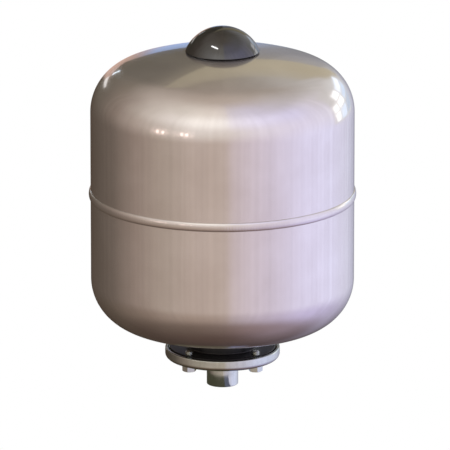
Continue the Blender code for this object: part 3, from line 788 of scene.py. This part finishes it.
def make_valve_stem(finish):
    """Brass stem: threaded mouth, coned hexagon, threaded shank and a plain tail, bored through."""
    hex_low = BOSS_TOP + 0.3 * MM
    hex_top = hex_low + 2.6 * MM
    neck, shank, tail = 3.85 * MM, 5.0 * MM, 3.5 * MM
    seat = STEM_MOUTH - 8.6 * MM
    lower = hexagon(14 * MM, hex_low, 1, 0.96)
    upper = hexagon(14 * MM, hex_top, -1, 0.96)
    profile = np.concatenate(
        [
            [(2.75 * MM, STEM_MOUTH - 0.4 * MM), (3.05 * MM, STEM_MOUTH), (3.45 * MM, STEM_MOUTH)],
            line((neck, STEM_MOUTH - 0.4 * MM), (neck, hex_top + 0.6 * MM), 64),
            [(neck - 0.3 * MM, hex_top + 0.45 * MM), (neck - 0.3 * MM, hex_top), (6.2 * MM, hex_top)],
            line((1, hex_top), (1, hex_top - 0.9 * MM), 8),
            line((1, hex_low + 0.9 * MM), (1, hex_low), 8),
            [(6.2 * MM, hex_low), (shank, hex_low)],
            line((shank, hex_low - 1.6 * MM), (shank, BOSS_LOW + 0.4 * MM), 90),
            [
                (shank - 0.4 * MM, BOSS_LOW + 0.02 * MM), (tail, BOSS_LOW + 0.02 * MM),
                (tail, STEM_LOW + 0.4 * MM), (tail - 0.4 * MM, STEM_LOW)
            ],
            [
                (2.3 * MM, STEM_LOW), (2.2 * MM, STEM_LOW + 0.2 * MM), (2.2 * MM, seat - 0.55 * MM),
                (2.75 * MM, seat)
            ],
        ]
    )
    mouth = thread(neck, 0.4 * MM, VALVE_PITCH, hex_top + 0.4 * MM, STEM_MOUTH + 0.5 * MM, 0.6 * MM)
    root = thread(shank, 0.3 * MM, 1 * MM, BOSS_LOW, hex_low - 1 * MM, 0.8 * MM)

    def change(r, z, a):
        r, z = root(*mouth(r, z, a), a)
        return np.where(r > 0.5, np.minimum(lower(z, a), upper(z, a)), r), z

    return piece(
        "valve_stem_brass", [turn(profile, 144, change)], "vessel", ["valve_stem"], finish,
        crease=28
    )


def make_core_body(finish):
    """Valve core: a threaded head with two flats above a slim barrel, open for the pin and its spring."""
    head_r, barrel = 2.45 * MM, 1.9 * MM
    shelf = CORE_TOP - 7.2 * MM
    step = CORE_TOP - 4.7 * MM
    profile = np.concatenate(
        [
            [(1.35 * MM, CORE_TOP), (head_r - 0.3 * MM, CORE_TOP)],
            line((head_r, CORE_TOP - 0.3 * MM), (head_r, step + 0.3 * MM), 60),
            [
                (head_r - 0.2 * MM, step), (barrel, step), (barrel, CORE_LOW + 0.2 * MM),
                (barrel - 0.2 * MM, CORE_LOW)
            ],
            [(0.85 * MM, CORE_LOW), (0.85 * MM, shelf), (1.35 * MM, shelf)],
        ]
    )
    cut = thread(head_r, 0.22 * MM, 0.705 * MM, step, CORE_TOP - 1.5 * MM, 0.4 * MM)

    def change(r, z, a):
        r, z = cut(r, z, a)
        flat = 1.85 * MM / np.maximum(np.abs(np.cos(a)), 0.2)
        high = (z > CORE_TOP - 1.3 * MM) & (r > 1.5 * MM)
        return np.where(high, np.minimum(r, flat), r), z

    return piece(
        "valve_core_brass", [turn(profile, 96, change)], "vessel", ["valve_core_body"], finish,
        crease=28
    )


def make_core_pin(finish):
    """The core's pin: a round tip, the collar that the spring lifts, and the cup that holds the poppet seal."""
    low, high = heights("valve_core_pin")
    pin, collar, cup = 0.5 * MM, 1.05 * MM, 1.8 * MM
    collar_top = CORE_TOP - 1.7 * MM
    profile = [
        (0, high), (pin * 0.6, high), (pin * 0.9, high - 0.08 * MM), (pin, high - 0.2 * MM), (pin, collar_top),
        (collar - 0.1 * MM, collar_top),
        (collar, collar_top - 0.1 * MM), (collar, collar_top - 0.7 * MM),
        (collar - 0.1 * MM, collar_top - 0.8 * MM), (pin, collar_top - 0.8 * MM),
        (pin, low + 0.8 * MM), (cup - 0.1 * MM, low + 0.8 * MM), (cup, low + 0.7 * MM), (cup, low + 0.1 * MM),
        (cup - 0.1 * MM, low), (0, low),
    ]
    return piece(
        "valve_core_pin_brass", [turn(profile, 48)], "valve_pin", ["valve_core_pin"], finish,
        loop=False
    )


def make_core_spring(finish):
    """Coil of 0.24 mm wire: a helix of four turns, closed at both ends."""
    low, high = heights("valve_core_spring")
    radius, wire = 0.925 * MM, 0.12 * MM
    t = np.linspace(0, 1, 193)
    angle = TAU * 4 * t
    path = np.stack(
        [radius * np.cos(angle), radius * np.sin(angle), low + wire + (high - low - 2 * wire) * t], -1
    )
    coil = tube(path, wire)
    first, last = (np.broadcast_to(end, coil[:1].shape) for end in path[[0, -1]])
    grid = np.concatenate([first, coil, last])
    made = piece(
        "valve_core_spring_wire", [grid], "vessel", ["valve_core_spring"], finish, loop=False,
        crease=60
    )
    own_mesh(made)
    return made


def make_seal(name, node, body, inner, round_by, finish):
    """A moulded ring with the place of its node: a rectangle whose corners are rounded by round_by."""
    low, high = heights(node)
    outer = half_width(node)
    profile = rounded([(inner, high), (outer, high), (outer, low), (inner, low)], round_by, 9)
    return piece(name, [turn(profile, 96)], body, [node], finish)


# Caps.


def make_dust_cap(finish):
    """Screw cap with 24 grip ribs and a stepped, dished top; the thread inside matches the valve's mouth."""
    low, high = heights("dust_cap")
    outer, inner = half_width("dust_cap"), 4.0 * MM
    cavity = high - 1.0 * MM
    ribs_top = high - 0.9 * MM
    profile = np.concatenate(
        [
            [(0, high - 0.25 * MM), (3.0 * MM, high - 0.25 * MM), (3.5 * MM, high)],
            arc((outer - 0.8 * MM, high - 0.55 * MM), 0.55 * MM, 90, 20, 6),
            line((outer, ribs_top), (outer, low + 1.1 * MM), 12),
            [
                (outer - 0.02 * MM, low + 0.9 * MM), (outer - 0.02 * MM, low + 0.15 * MM),
                (outer - 0.2 * MM, low), (inner + 0.25 * MM, low)
            ],
            line((inner, low + 0.25 * MM), (inner, cavity - 0.3 * MM), 72),
            [(inner - 0.3 * MM, cavity), (0, cavity)],
        ]
    )
    cut = thread(inner, 0.3 * MM, VALVE_PITCH, low, cavity - 0.6 * MM, 0.5 * MM, outside=False)

    def change(r, z, a):
        rib = (0.5 + 0.5 * np.cos(24 * a)) ** 1.5
        on = (np.abs(r - outer) < 0.01 * MM) & (z > low + 1.0 * MM)
        ends = smooth((z - low - 1.0 * MM) / (0.3 * MM)) * smooth((ribs_top + 0.3 * MM - z) / (0.5 * MM))
        r = np.where(on, r - 0.28 * MM * (1 - rib) * ends, r)
        return cut(r, z, a)

    return piece(
        "dust_cap_moulded", [turn(profile, 192, change)], "dust_cap", ["dust_cap"], finish,
        loop=False
    )


def dome(radius, height, base, start, end, count):
    """Part of a ball's cap with this base radius and height: r = S sin b, z = base + height - S + S cos b."""
    ball = (radius**2 + height**2) / (2 * height)
    b = np.linspace(math.asin(start / ball), math.asin(end / ball), count)
    return np.stack([ball * np.sin(b), base + height - ball + ball * np.cos(b)], -1)


def make_cover_cap(finish):
    """Domed cap with a rounded rim and an inner sleeve that grips the valve boss."""
    height = CAP_TOP - CAP_RIM
    inside_r, inside_h = CAP_RADIUS - 1.8 * MM, height - 1.8 * MM
    sleeve_in, sleeve_out = 9.3 * MM, 10.8 * MM
    end = TANK_TOP + 0.6 * MM
    outer = dome(CAP_RADIUS, height, CAP_RIM, 0, CAP_RADIUS - 0.05 * MM, 72)
    lip = arc((CAP_RADIUS - 0.75 * MM, CAP_RIM + 0.62 * MM), 0.62 * MM, -10, -170, 10)
    skirt = dome(inside_r, inside_h, CAP_RIM, inside_r - 0.02 * MM, sleeve_out + 0.5 * MM, 36)
    crown = dome(inside_r, inside_h, CAP_RIM, sleeve_in - 0.4 * MM, 0, 12)
    top = skirt[-1, 1]
    sleeve = np.concatenate(
        [
            [(sleeve_out + 0.12 * MM, top - 0.35 * MM)],
            line((sleeve_out, top - 1 * MM), (sleeve_out, end + 0.3 * MM), 12),
            [(sleeve_out - 0.3 * MM, end), (sleeve_in + 0.3 * MM, end)],
            line((sleeve_in, end + 0.3 * MM), (sleeve_in, top - 0.5 * MM), 12),
        ]
    )
    profile = np.concatenate([outer, lip, skirt, sleeve, crown])
    return piece(
        "cover_cap_dome", [turn(profile, 256)], "cover_cap", ["cover_cap"], finish, loop=False
    )


# Assembly.

BODY_ENAMEL = silver_enamel("silver_enamel")
WELD_ENAMEL = silver_enamel("silver_enamel_on_weld", rough=0.25, peel=1.5)
ZINC = zinc_plating("bright_zinc_plating")
LACQUER = black_lacquer("black_stoving_lacquer")
RUBBER = vulcanised_rubber("vulcanised_rubber")
FINE_RUBBER = vulcanised_rubber("moulded_seal_rubber", scale=3000.0)
STEEL = turned_metal("turned_steel", "8d8b88", "a9a7a3", 0.3, 0.5 * MM)
BRASS = turned_metal("turned_brass", "b08a45", "cda75c", 0.26, 0.4 * MM)
SPRING_STEEL = turned_metal("drawn_spring_steel", "9a9997", "b7b5b2", 0.22, 0.3 * MM)

make_upper_shell(BODY_ENAMEL)
make_lower_shell(BODY_ENAMEL)
make_girth_weld(WELD_ENAMEL)
make_neck_weld(WELD_ENAMEL)
make_neck_flange(LACQUER)
make_cover_flange(ZINC)
make_inlet_socket(ZINC)
make_inlet_weld(ZINC)
make_flange_bolts(ZINC)
make_bladder(RUBBER)
make_valve_boss(STEEL)
make_valve_stem(BRASS)
make_core_body(BRASS)
make_core_pin(BRASS)
make_core_spring(SPRING_STEEL)
make_seal("stem_o_ring", "valve_stem_oring", "vessel", 5.6 * MM, 0.6 * MM, FINE_RUBBER)
make_seal("core_seat_seal", "valve_core_seal", "vessel", 2.0 * MM, 0.2 * MM, FINE_RUBBER)
make_seal("poppet_disc_seal", "valve_core_poppet_seal", "valve_pin", 0.6 * MM, 0.15 * MM, FINE_RUBBER)
make_seal("dust_cap_disc_seal", "dust_cap_seal", "dust_cap_carrier", 1.5 * MM, 0.2 * MM, FINE_RUBBER)
make_dust_cap(moulded_nylon("moulded_nylon"))
make_cover_cap(glossy_abs("glossy_black_abs"))


# Floor, backdrop and light.


def direction(azimuth, elevation):
    """Unit vector for an azimuth, 0 to the front and growing to the right, and an elevation, in degrees."""
    a, e = math.radians(azimuth), math.radians(elevation)
    return np.array((math.cos(e) * math.sin(a), -math.cos(e) * math.cos(a), math.sin(e)))


def plain_glow(name, tone, strength):
    """An even tone, seen only from its front, so that the underside stays in view from below."""
    made, tree = empty_material(name)
    glow = add_node(tree, "ShaderNodeEmission", {"Color": colour(tone), "Strength": strength})
    clear = add_node(tree, "ShaderNodeBsdfTransparent")
    back = add_node(tree, "ShaderNodeNewGeometry").outputs["Backfacing"]
    both = add_node(tree, "ShaderNodeMixShader", {0: back, 1: glow.outputs[0], 2: clear.outputs[0]})
    add_node(tree, "ShaderNodeOutputMaterial", {"Surface": both.outputs[0]})
    return made


def make_stage():
    """A wide white floor, and a white dome behind everything. Only the camera sees them."""
    rim = np.linspace(0, TAU, 64, endpoint=False)
    floor_mesh = bpy.data.meshes.new("floor")
    floor_mesh.from_pydata(
        np.stack([14 * np.cos(rim), 14 * np.sin(rim), 0 * rim - 0.2 * MM], -1), [], [range(64)]
    )
    b, a = np.meshgrid(np.linspace(0.001, math.pi - 0.001, 24), rim, indexing="ij")
    around = np.stack([15 * np.sin(b) * np.cos(a), 15 * np.sin(b) * np.sin(a), 15 * np.cos(b)], -1)
    dome_mesh = bpy.data.meshes.new("backdrop")
    dome_mesh.from_pydata(around.reshape(-1, 3), [], faces_of(24, 64, False))
    white = plain_glow("plain_white", "ffffff", 1.0)
    shape = bmesh.new()
    shape.from_mesh(dome_mesh)
    bmesh.ops.recalc_face_normals(shape, faces=shape.faces)
    bmesh.ops.reverse_faces(shape, faces=shape.faces)
    shape.to_mesh(dome_mesh)
    shape.free()
    for name, mesh in (("floor", floor_mesh), ("backdrop", dome_mesh)):
        obj = put(name, mesh)
        mesh.materials.append(white)
        obj.visible_diffuse = obj.visible_glossy = obj.visible_transmission = False
        obj.visible_shadow = obj.visible_volume_scatter = False


def make_bench():
    """Mats on the bench under the outlet, dark olive and lavender wedges that only show as reflections in the
    plated parts."""
    for name, tone, start, end, inner, outer in MATS:
        around = np.radians(np.linspace(start, end, 40))
        rim = np.stack([np.sin(around), -np.cos(around), 0 * around], -1)
        outline = np.concatenate([rim * outer * MM, rim[::-1] * inner * MM]) - (0, 0, 0.1 * MM)
        mesh = bpy.data.meshes.new(name)
        mesh.from_pydata(outline, [], [range(80)])
        mesh.materials.append(plain_glow(name, tone, 1.0))
        obj = put(name, mesh)
        obj.visible_camera = obj.visible_diffuse = obj.visible_shadow = False


def make_strip_lamp():
    """A narrow lamp over the cap. It is linked to the cap, where it draws one short bright dash."""
    lamp = bpy.data.lights.new("strip_lamp", "AREA")
    lamp.shape, lamp.size, lamp.size_y, lamp.energy = "RECTANGLE", 0.36, 0.06, 1.1
    obj = put("strip_lamp", lamp)
    toward = direction(-46, 62)
    obj.location = tuple(toward + (0, 0, CAP_TOP))
    obj.rotation_euler = Vector(toward).to_track_quat("Z", "Y").to_euler()
    obj.visible_camera = False
    lit = bpy.data.collections.new("lit_by_strip_lamp")
    lit.objects.link(bpy.data.objects["cover_cap_dome"])
    obj.light_linking.receiver_collection = lit


def make_studio():
    """The studio as a soft surround of light: warm and dim on the left, pale lavender on the right, dark below
    and bright above the front. It is rings of colour round the horizon, mixed by elevation and faintly streaked
    like hanging cloth, with straight-edged panels of light over them."""
    world = bpy.data.worlds.new("studio")
    bpy.context.scene.world = world
    world.use_nodes = True
    tree = world.node_tree
    tree.nodes.clear()
    look = add_node(tree, "ShaderNodeTexCoord").outputs["Generated"]
    split = add_node(tree, "ShaderNodeSeparateXYZ", {"Vector": look})
    x, y, z = (split.outputs[k] for k in "XYZ")
    front = add_node(tree, "ShaderNodeMath", {0: y, 1: -1.0}, operation="MULTIPLY").outputs[0]
    turned = add_node(tree, "ShaderNodeMath", {0: x, 1: front}, operation="ARCTAN2").outputs[0]
    part = add_node(
        tree, "ShaderNodeMapRange", {"Value": turned, "From Min": -math.pi, "From Max": math.pi}
    ).outputs[0]
    raised = add_node(tree, "ShaderNodeMath", {0: z}, operation="ARCSINE").outputs[0]

    total, below = None, None
    for elevation, stops in RINGS:
        ring = [((a + 180) / 360, colour(c)) for a, c in stops]
        here = add_node(tree, "ShaderNodeValToRGB", {"Fac": part}, stops=ring).outputs[0]
        if total:
            limits = {"From Min": math.radians(below), "From Max": math.radians(elevation)}
            share = add_node(
                tree, "ShaderNodeMapRange", {"Value": raised, **limits}, interpolation_type="SMOOTHSTEP"
            ).outputs[0]
            here = add_node(tree, "ShaderNodeMixRGB", {0: share, 1: total, 2: here}).outputs[0]
        total, below = here, elevation
    folds = add_node(
        tree, "ShaderNodeTexNoise", {"W": part, "Scale": 90.0, "Detail": 3.0}, noise_dimensions="1D"
    ).outputs["Fac"]
    fold = {
        "Value": folds, "From Min": 0.3, "From Max": 0.7, "To Min": SURROUND * FOLDS[0],
        "To Max": SURROUND * FOLDS[1]
    }
    depth = add_node(tree, "ShaderNodeMapRange", fold).outputs[0]
    total = add_node(tree, "ShaderNodeVectorMath", {0: total, "Scale": depth}, operation="SCALE").outputs[0]

    for corners, softness, tone, strength in PANELS:
        found = [direction(*corner) for corner in corners]
        mask = 1.0
        for first, second, soft in zip(found, found[1:] + found[:1], np.broadcast_to(softness, len(found))):
            edge = np.cross(first, second)
            edge /= np.linalg.norm(edge) * np.sign(edge @ sum(found))
            over = add_node(
                tree, "ShaderNodeVectorMath", {0: look, 1: tuple(edge)}, operation="DOT_PRODUCT"
            ).outputs["Value"]
            limits = {"From Min": -soft, "From Max": soft}
            step = add_node(
                tree, "ShaderNodeMapRange", {"Value": over, **limits}, interpolation_type="SMOOTHSTEP"
            ).outputs[0]
            mask = add_node(tree, "ShaderNodeMath", {0: step, 1: mask}, operation="MULTIPLY").outputs[0]
        glow = tuple(strength * v for v in colour(tone)[:3]) + (1.0,)
        total = add_node(tree, "ShaderNodeMixRGB", {0: mask, 1: total, 2: glow}).outputs[0]

    shine = add_node(tree, "ShaderNodeBackground", {"Color": total, "Strength": 1.0})
    add_node(tree, "ShaderNodeOutputWorld", {"Surface": shine.outputs[0]})
    world.cycles.sampling_method = "MANUAL"
    world.cycles.sample_map_resolution = 1024


# Bench mats: name, tone, from and to azimuth in degrees, inner and outer radius in mm.
MATS = [
    ("olive_mat", "565343", -178, 12, 1, 58),
    ("lavender_mat", "70728a", 12, 38, 1, 58),
]
# Strength of the surround, and how far its folds darken and lighten it.
SURROUND = 2.1
FOLDS = (0.86, 1.14)
# Colours of the surround: elevation, then azimuth and colour, in degrees.
RINGS = [
    (-90, [(0, "372519")]),
    (
        -55,
        [
            (-175, "291e16"), (-130, "32261e"), (-80, "45382e"), (-30, "54453b"), (4, "5a4a41"), (8, "62504a"),
            (40, "6c5a5c"), (90, "72646e"), (140, "4c4044"), (172, "2a1f1c")
        ]
    ),
    (
        -32,
        [
            (-170, "2e261f"), (-130, "3e352c"), (-80, "685a50"), (-30, "86766b"), (4, "8a7a70"), (8, "988c90"),
            (40, "a298aa"), (90, "aea8cc"), (140, "8c889e"), (172, "40393a")
        ]
    ),
    (
        -15,
        [
            (-175, "352c25"), (-140, "3c342d"), (-110, "4e453e"), (-80, "776961"), (-50, "8f8379"),
            (-20, "9e9088"), (4, "a09288"), (8, "b0a4a8"), (40, "b6aebe"), (75, "c4c2dc"), (110, "c4c4de"),
            (140, "acacbe"), (165, "7c7c8a"), (178, "585858")
        ]
    ),
    (
        12,
        [
            (-170, "464239"), (-140, "4c463e"), (-110, "6a5e56"), (-80, "968a82"), (-50, "aea69f"),
            (-20, "c2bcb7"), (4, "c2bbb5"), (30, "c4bec8"), (75, "c2bed4"), (110, "c2c0d0"), (140, "a4a2a4"),
            (160, "a4a3a4"), (175, "68686c")
        ]
    ),
    (
        34,
        [
            (-170, "48443c"), (-140, "5c544a"), (-110, "786c64"), (-80, "a8a098"), (-50, "ccc6c2"),
            (-20, "e8e4e0"), (4, "dedad6"), (8, "d4d0dc"), (40, "cbc8e0"), (75, "bdbbd8"), (110, "b8b4bc"),
            (140, "a8a6a4"), (165, "969492"), (178, "605e58")
        ]
    ),
    (
        56,
        [
            (-170, "786e64"), (-110, "988e86"), (-50, "bcb6ae"), (-10, "c6beb6"), (4, "c4bcb4"), (8, "b4b0bc"),
            (40, "aeaabc"), (110, "a09c9c"), (150, "867f77"), (180, "786e64")
        ]
    ),
    (90, [(0, "978b80")]),
]
# Panels of light: corners (azimuth, elevation), softness of the edge that starts at each, tone and strength.
PANELS = [
    (
        [(-150, 52.4), (163, 3), (152, 27), (175.8, 41.8), (-173, 48)], [0.012, 0.05, 0.03, 0.03, 0.2],
        "b0a68c", 1.35
    ),
    ([(116, 34), (155, 26), (153, -9), (114, -9)], [0.05, 0.05, 0.015, 0.015], "eceae8", 1.05),
    ([(117, 12), (126, 12), (126, 3.5), (116, 3.5)], 0.006, "ffffff", 2.2),
    ([(116, 2.2), (126, 2.2), (126, -8), (119, -8)], 0.006, "ffffff", 2.2),
    ([(128, 22), (140, 20), (140, 12), (128, 13)], 0.006, "fcfcff", 2.2),
    ([(128, 11.5), (140, 10.5), (140, 3.5), (128, 3.5)], 0.006, "fcfcff", 2.2),
    ([(128, 2.2), (140, 2.2), (139, -8), (128, -8)], 0.006, "d8e8ff", 1.7),
    ([(142.5, 18), (159, 15), (158, 9), (142.5, 10)], 0.006, "e4eeff", 2.0),
    ([(142.5, 8.5), (158, 7.5), (156, 2.5), (142.5, 3)], 0.006, "d0e4ff", 1.4),
    ([(142.5, 1.5), (155, 1), (152, -7), (141.5, -7.5)], 0.006, "c8d8f0", 1.1),
    ([(178, 5.5), (-174, 6), (180, -17)], [0.012, 0.02, 0.03], "acc2ee", 0.95),
    ([(-174, 6), (-160, 10.5), (-160, 5), (180, -15.5)], [0.012, 0.02, 0.02, 0.02], "dcb8a8", 0.9),
    ([(-161, 8.5), (-149, 11.5), (-149.5, 8.5), (-161, 4)], [0.01, 0.02, 0.02, 0.02], "f0ecea", 1.6),
    ([(-166.5, 14.5), (-164.5, 15), (-161, 10.5), (-163, 10)], 0.004, "e4f2ff", 3.0),
    ([(-59.2, 8), (-56.8, 8), (-56.8, 1), (-59.2, 1)], 0.004, "ffe6de", 5.0),
    ([(-54, 7.5), (-51.4, 7.5), (-51.4, 1), (-54, 1)], 0.004, "ffe6de", 5.0),
    ([(-36.6, 8), (-34.4, 8), (-34.4, 1.5), (-36.6, 1.5)], 0.004, "ffe6de", 5.0),
    ([(-32.2, 8), (-29.8, 8), (-29.8, 1.5), (-32.2, 1.5)], 0.004, "ffe6de", 5.0),
]

make_stage()
make_bench()
make_strip_lamp()
make_studio()

# The camera looks down a little from far off, through a long lens.
EYE_LIFT = math.radians(15.5)
EYE_DISTANCE = 8.2
TARGET = Vector((2.6 * MM, 0.0, 169 * MM))
lens = bpy.data.cameras.new("camera")
lens.lens, lens.sensor_width = 640.0, 36.0
lens.clip_start, lens.clip_end = 0.1, 100.0
camera = put("camera", lens)
away = Vector((0.0, -math.cos(EYE_LIFT), math.sin(EYE_LIFT)))
camera.location = TARGET + away * EYE_DISTANCE
camera.rotation_euler = (math.radians(90) - EYE_LIFT, 0.0, 0.0)
bpy.context.scene.camera = camera
bpy.context.scene.view_settings.view_transform = "Standard"
